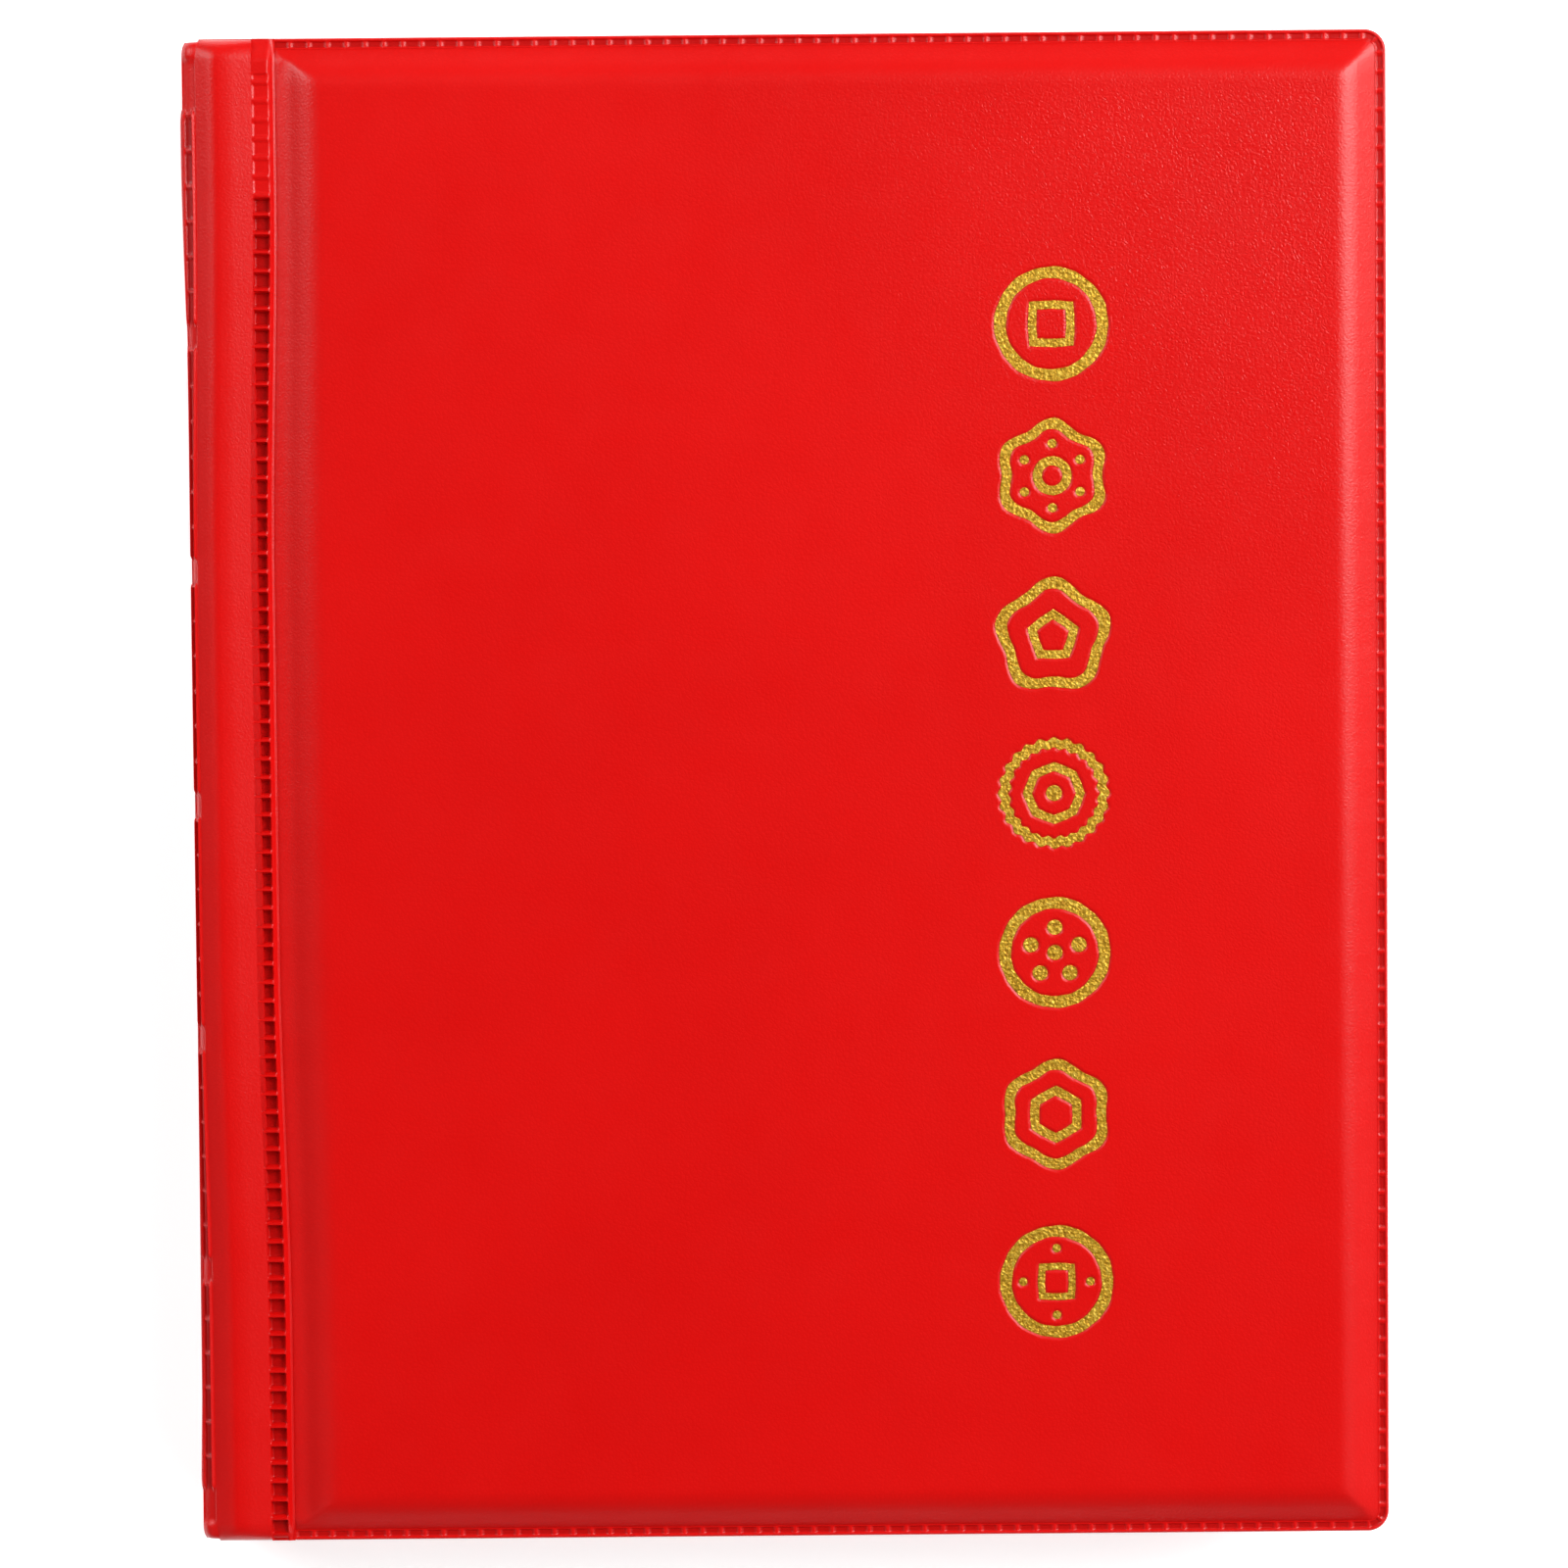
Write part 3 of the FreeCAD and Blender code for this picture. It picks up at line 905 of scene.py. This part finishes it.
def ladder_relief(across, along):
    """A row of dents with rungs between them. Near the head they are shallow, and then stop."""
    offset = across - ladder_x
    full = smooth((half_height - SHALLOW_HEAD - along) / SHALLOW_FADE)
    centre = DENT_CENTRE + SHALLOW_SHIFT * (1 - full)
    dents = plateau(from_cell_middle(along, LADDER_PITCH), DENT_LENGTH / 2, DENT_SOFT)
    dents = dents * plateau(offset - centre, DENT_WIDTH / 2, DENT_SOFT)
    dents = dents * (SHALLOW_SHARE + (1 - SHALLOW_SHARE) * full) * (along < half_height - PLAIN_HEAD)
    level = ladder_border(offset, along)
    level = level + (np.minimum(DENT_FLOOR, level) - level) * dents
    end = LADDER_END_SHARE + (1 - LADDER_END_SHARE) * near_end(along, half_height, LADDER_END_REACH)
    # The second value darkens the dents' colour: painted shade in them, partly the darker pressed film.
    return flange_level + level * end, DENT_DARKNESS * dents * full


def make_ladder(side):
    place, flip = FACES[side]
    along = spaced(-half_height, half_height, LADDER_PITCH / 16)
    across = ladder_x + np.linspace(-LADDER_HALF, LADDER_HALF, 29)
    piece = make_band(side + "_ladder_weld", along, across, ladder_relief, lining_outer,
                      place, flip, red_vinyl)
    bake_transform(piece)


FOLD_BRICK_PITCH = 5.8 * MM
FOLD_BRICK_LENGTH = 5.35 * MM
FOLD_BRICK_WIDTH = 1.3 * MM
FOLD_BRICK_DEPTH = 0.32 * MM
FOLD_ARCH = 0.42 * MM
FOLD_RIDGE_PLACE = 0.95 * MM
FOLD_RIDGE_HALF = 0.14 * MM
FOLD_RIDGE_SOFT = 0.28 * MM
FOLD_RIDGE_HEIGHT = 0.28 * MM
FOLD_PINCH = 0.45 * MM
FOLD_PINCH_START = 0.2 * MM
FOLD_PINCH_FADE = 1.4 * MM
FOLD_END_FREE = 3.6 * MM
FOLD_END_DROP = 1.3 * MM
FOLD_UNDERSIDE = -1.6 * MM


def fold_frame(side):
    """Lays (across, along, outward) on the slanting weld between a strip and the spine."""
    flip = FACES[side][1]
    run = np.array([FOLD_BORDER[0] - FOLD_SPINE_BORDER[0], FOLD_SPINE_BORDER[1] - FOLD_BORDER[1]])
    length = float(np.hypot(*run))

    def at(across, along, outward):
        crept = bow(along)
        low_x = spine_face + FOLD_SPINE_BORDER[0] + spine_sink(along, -spine_face - FOLD_SPINE_BORDER[0])
        high_x = strip_low + BOW_SHIFTS[0] * crept
        low_z = album_top - FOLD_SPINE_BORDER[1]
        high_z = strip_base
        width = np.hypot(high_x - low_x, high_z - low_z)
        share = across / length
        x = low_x + (high_x - low_x) * share - (high_z - low_z) / width * outward
        z = low_z + (high_z - low_z) * share + (high_x - low_x) / width * outward
        return np.stack([x, along, z if side == "front" else album_top - z], axis=-1)

    return at, flip, length


def fold_relief_for(length):
    """The relief of a fold weld whose width is length."""
    def relief(across, along):
        """Two ridges with long bricks between them, and a pinch where two panels of the spine meet."""
        from_end = spine_end - np.abs(along)
        corner = smooth((FOLD_END_FREE - from_end) / FOLD_PINCH_FADE)
        in_panel = smooth((in_spine_panel(along) + FOLD_PINCH_START) / FOLD_PINCH_FADE)
        free = np.maximum(in_panel, corner)
        from_middle = across - length / 2
        arch = np.sin(math.pi * across / length)
        ridges = plateau(np.abs(from_middle) - FOLD_RIDGE_PLACE, FOLD_RIDGE_HALF, FOLD_RIDGE_SOFT)
        start = along + half_height - SPINE_TAIL - NECK / 2
        # The brick mask sinks the bricks and also darkens their colour: painted shade, partly the darker
        # pressed film.
        pressed = in_panel * brick_rows(np.mod(start, spine_pitch), from_middle,
                                        FOLD_BRICK_PITCH, FOLD_BRICK_LENGTH, FOLD_BRICK_WIDTH)
        pinch = FOLD_PINCH * (1 - free) * np.sqrt(np.clip(arch, 0, 1))
        end_drop = FOLD_END_DROP * (1 - shoulder(from_end, FOLD_END_ROUNDING))
        raised = FOLD_ARCH * arch + FOLD_RIDGE_HEIGHT * in_panel * ridges
        return raised - FOLD_BRICK_DEPTH * pressed - pinch - end_drop, pressed
    return relief


def make_fold(side):
    at, flip, length = fold_frame(side)
    end_lines = shoulder_lines(FOLD_END_ROUNDING, 9)
    along = merged_lines(spaced(-spine_end, spine_end, 0.36 * MM),
                         spine_end - end_lines, end_lines - spine_end)
    across = np.linspace(0, length, 25)
    piece = make_band(side + "_fold_weld", along, across, fold_relief_for(length), FOLD_UNDERSIDE,
                      at, flip, red_vinyl)
    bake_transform(piece)


# ---- Foil motifs

def make_motif(number, loops, centre):
    """Foil in the pressed outlines, a little under the cover's surface."""
    curve = bpy.data.curves.new("outline", "CURVE")
    curve.dimensions = "2D"
    curve.fill_mode = "BOTH"
    curve.extrude = FOIL_THICKNESS / 2
    for loop in loops:
        spline = curve.splines.new("POLY")
        spline.points.add(len(loop) - 1)
        for point, (x, y) in zip(spline.points, loop * MM):
            point.co = (x, y, 0, 1)
        spline.use_cyclic_u = True
    holder = bpy.data.objects.new("outline", curve)
    mesh = bpy.data.meshes.new_from_object(holder)
    bpy.data.objects.remove(holder)
    points = np.array([vertex.co for vertex in mesh.vertices])
    points[:, 0] += centre[0]
    points[:, 1] += centre[1]
    points[:, 2] += cover_height(points[:, 0], points[:, 1]) - FOIL_DEPTH
    faces = [list(polygon.vertices) for polygon in mesh.polygons]
    piece = make_piece("foil_sign_%d" % number, points, faces, gold_foil)
    bpy.data.meshes.remove(mesh)
    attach(piece, "front_cover")
    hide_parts("foil_motif_%d" % number)


# ---- Clear pages

POCKET_COLUMNS = 4
POCKET_ROWS = 6
POCKET_SEAM = 2.4 * MM
POCKET_SHOULDER = 2.2 * MM
POCKET_MARGIN = 2.0 * MM
POCKET_HEADROOM = 0.1 * MM
POCKET_SEAM_LEVEL = 0.06 * MM
POCKET_SAG = 0.35
POCKET_SAG_REACH = 14.0 * MM
POCKET_PLAIN_START = 8.0 * MM
POCKET_SPACING = 7.0 * MM
PAGE_BEND = 9.0 * MM
PAGE_BEND_SPACING = 0.6 * MM
PAGE_SPACING = (20.0 * MM, 40.0 * MM)
PAGE_COUNT = 10


def page_film(number):
    """The backing film, with its grid lines close together near its root, where a turning page bends."""
    name = "page_%02d" % number
    low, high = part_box(name + "_backing")
    axis = joint_place(name + "_hinge")
    stub_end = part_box("page_binding_strip")[1][0]
    bend_end = axis[0] + PAGE_BEND
    across = merged_lines(spaced(stub_end, bend_end, PAGE_BEND_SPACING),
                          spaced(bend_end, high[0], PAGE_SPACING[0]))
    along = spaced(low[1], high[1], PAGE_SPACING[1])
    thickness = high[2] - low[2]

    def relief(grid_a, grid_l):
        return np.full(grid_a.shape, axis[2] + thickness / 2), np.zeros(grid_a.shape)

    piece = make_band(name + "_film", along, across, relief, axis[2] - thickness / 2,
                      on_front, False, clear_vinyl)
    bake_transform(piece)
    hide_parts(name + "_backing")


def pocket_mesh():
    """The front film of a page at height zero: rows of pockets, each open at its head side."""
    low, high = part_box("page_01_pockets")
    rise = high[2] - low[2] - POCKET_HEADROOM
    cell_a = (high[0] - POCKET_MARGIN - low[0]) / POCKET_COLUMNS
    cell_l = (high[1] - low[1] - 2 * POCKET_MARGIN) / POCKET_ROWS
    lines = POCKET_SEAM / 2 + shoulder_lines(POCKET_SHOULDER, 5)
    side = merged_lines(0.0, lines, cell_a / 2, cell_a - lines, cell_a)
    across = merged_lines(*[low[0] + column * cell_a + side for column in range(POCKET_COLUMNS)], high[0])
    points, faces = [], []
    for row in range(POCKET_ROWS):
        foot = low[1] + POCKET_MARGIN + row * cell_l
        mouth = foot + cell_l - POCKET_SEAM
        along = merged_lines(foot - POCKET_SEAM / 2, foot + lines,
                             spaced(foot + POCKET_PLAIN_START, mouth, POCKET_SPACING))
        grid_a, grid_l = np.meshgrid(across, along)
        from_seam = cell_a / 2 - np.abs(from_cell_middle(grid_a - low[0], cell_a)) - POCKET_SEAM / 2
        from_seam = np.where(grid_a > high[0] - POCKET_MARGIN, 0, from_seam)
        form = shoulder(np.maximum(from_seam, 0), POCKET_SHOULDER)
        form = form * shoulder(np.maximum(grid_l - foot - POCKET_SEAM / 2, 0), POCKET_SHOULDER)
        sag = 1 - POCKET_SAG * smooth((grid_l - mouth + POCKET_SAG_REACH) / POCKET_SAG_REACH)
        height = POCKET_SEAM_LEVEL + rise * form * sag
        faces += grid_faces(*grid_a.shape, start=sum(len(group) for group in points))
        points.append(on_front(grid_a, grid_l, height).reshape(-1, 3))
    return np.concatenate(points), faces


def page_pockets(number, points, faces):
    """The front film, whose pockets ride with their page."""
    name = "page_%02d" % number
    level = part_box(name + "_pockets")[0][2]
    piece = make_piece(name + "_pocket_film", points + [0, 0, level], faces, clear_vinyl)
    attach(piece, name)
    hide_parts(name + "_pockets")


# ---- CAD pieces that stay as they are, with better materials

def dress_cad_nodes():
    """Gives the linings, boards and binding strip the materials made here."""
    finishes = {"_lining": lining_vinyl, "_board": greyboard, "binding_strip": binding_vinyl}
    for name, node in frame["nodes"].items():
        for ending, material in finishes.items():
            if name.endswith(ending):
                node.data.materials.clear()
                node.data.materials.append(material)


# ---- Studio

CAMERA_DISTANCE = 1.0
CAMERA_TILT = math.radians(3.7)
CAMERA_ROLL = math.radians(-0.5)
VIEW_MIDDLE = (-0.7 * MM, 1.4 * MM)
VIEW_WIDTH = 259.6 * MM
SENSOR = 36.0
FLOOR_HALF = 3.0


def add_camera():
    """A long lens almost straight above the cover, a little towards its head."""
    target = Vector((*VIEW_MIDDLE, album_top))
    place = target + CAMERA_DISTANCE * Vector((0, math.sin(CAMERA_TILT), math.cos(CAMERA_TILT)))
    forward = (target - place).normalized()
    right = forward.cross(Vector((0, 1, 0))).normalized()
    up = right.cross(forward)
    turn = Matrix((right, up, -forward)).transposed() @ Matrix.Rotation(CAMERA_ROLL, 3, "Z")
    data = bpy.data.cameras.new("camera")
    data.sensor_width = SENSOR
    data.lens = SENSOR * CAMERA_DISTANCE / VIEW_WIDTH
    data.clip_start = 0.01
    camera = bpy.data.objects.new("camera", data)
    camera.matrix_world = Matrix.Translation(place) @ turn.to_4x4()
    bpy.context.scene.collection.objects.link(camera)
    bpy.context.scene.camera = camera


def add_softbox(name, place, size, power, reflected=True):
    """A rectangular light aimed at the album."""
    data = bpy.data.lights.new(name, "AREA")
    data.shape = "RECTANGLE"
    data.size, data.size_y = size
    data.energy = power
    light = bpy.data.objects.new(name, data)
    light.location = place
    light.rotation_euler = (Vector((0, 0, 0)) - Vector(place)).to_track_quat("-Z", "Y").to_euler()
    light.visible_glossy = reflected
    bpy.context.scene.collection.objects.link(light)


def add_floor():
    """A white floor that glows a little, so that it stays white round the album."""
    nodes = Nodes("floor")
    nodes.set(Base_Color=(0.9, 0.9, 0.9, 1), Roughness=0.9,
              Emission_Color=(1, 1, 1, 1), Emission_Strength=0.62)
    corners = [(x * FLOOR_HALF, y * FLOOR_HALF, 0) for x, y in ((-1, -1), (1, -1), (1, 1), (-1, 1))]
    floor = make_piece("floor", corners, [[0, 1, 2, 3]], nodes.material)


def add_world():
    """A studio with pale walls under a dark ceiling, which a flat cover reflects."""
    world = bpy.data.worlds.new("studio")
    world.use_nodes = True
    tree = world.node_tree
    direction = tree.nodes.new("ShaderNodeTexCoord")
    height = tree.nodes.new("ShaderNodeSeparateXYZ")
    walls = tree.nodes.new("ShaderNodeMapRange")
    walls.inputs["From Min"].default_value = 0.35
    walls.inputs["From Max"].default_value = 0.75
    walls.inputs["To Min"].default_value = 0.12
    walls.inputs["To Max"].default_value = 0.02
    tree.links.new(direction.outputs["Generated"], height.inputs[0])
    tree.links.new(height.outputs["Z"], walls.inputs["Value"])
    tree.links.new(walls.outputs["Result"], tree.nodes["Background"].inputs["Color"])
    bpy.context.scene.world = world


def add_studio():
    add_camera()
    add_softbox("left_light", (-1.05, 0.6, 0.85), (0.6, 0.9), 7)
    add_softbox("right_light", (1.05, 0.4, 0.85), (0.6, 0.9), 15)
    add_softbox("sheen_light", (0.58, 0.46, 1.05), (0.3, 0.3), 2.0)
    for name, x, y, power in (("head_left", -0.85, 0.9, 4.6), ("head_right", 0.85, 0.9, 7.4),
                              ("tail_left", -0.85, -0.85, 2.8), ("tail_right", 0.85, -0.85, 4.6)):
        add_softbox(name + "_fill", (x, y, 1.05), (0.9, 0.9), power, reflected=False)
    add_floor()
    add_world()
    bpy.context.scene.view_settings.view_transform = "Standard"


# ---- The album

make_cover("front", debossed_cover_height, with_motifs=True)
make_cover("back", cover_height, with_motifs=False)
for side in FACES:
    make_strip(side)
    make_edge(side)
    make_ladder(side)
    make_fold(side)
make_spine()
for number, (loops, centre) in enumerate(zip(MOTIFS, motif_centres()), start=1):
    make_motif(number, loops, centre)
pocket_points, pocket_faces = pocket_mesh()
for number in range(1, PAGE_COUNT + 1):
    page_film(number)
    page_pockets(number, pocket_points, pocket_faces)
dress_cad_nodes()
add_studio()
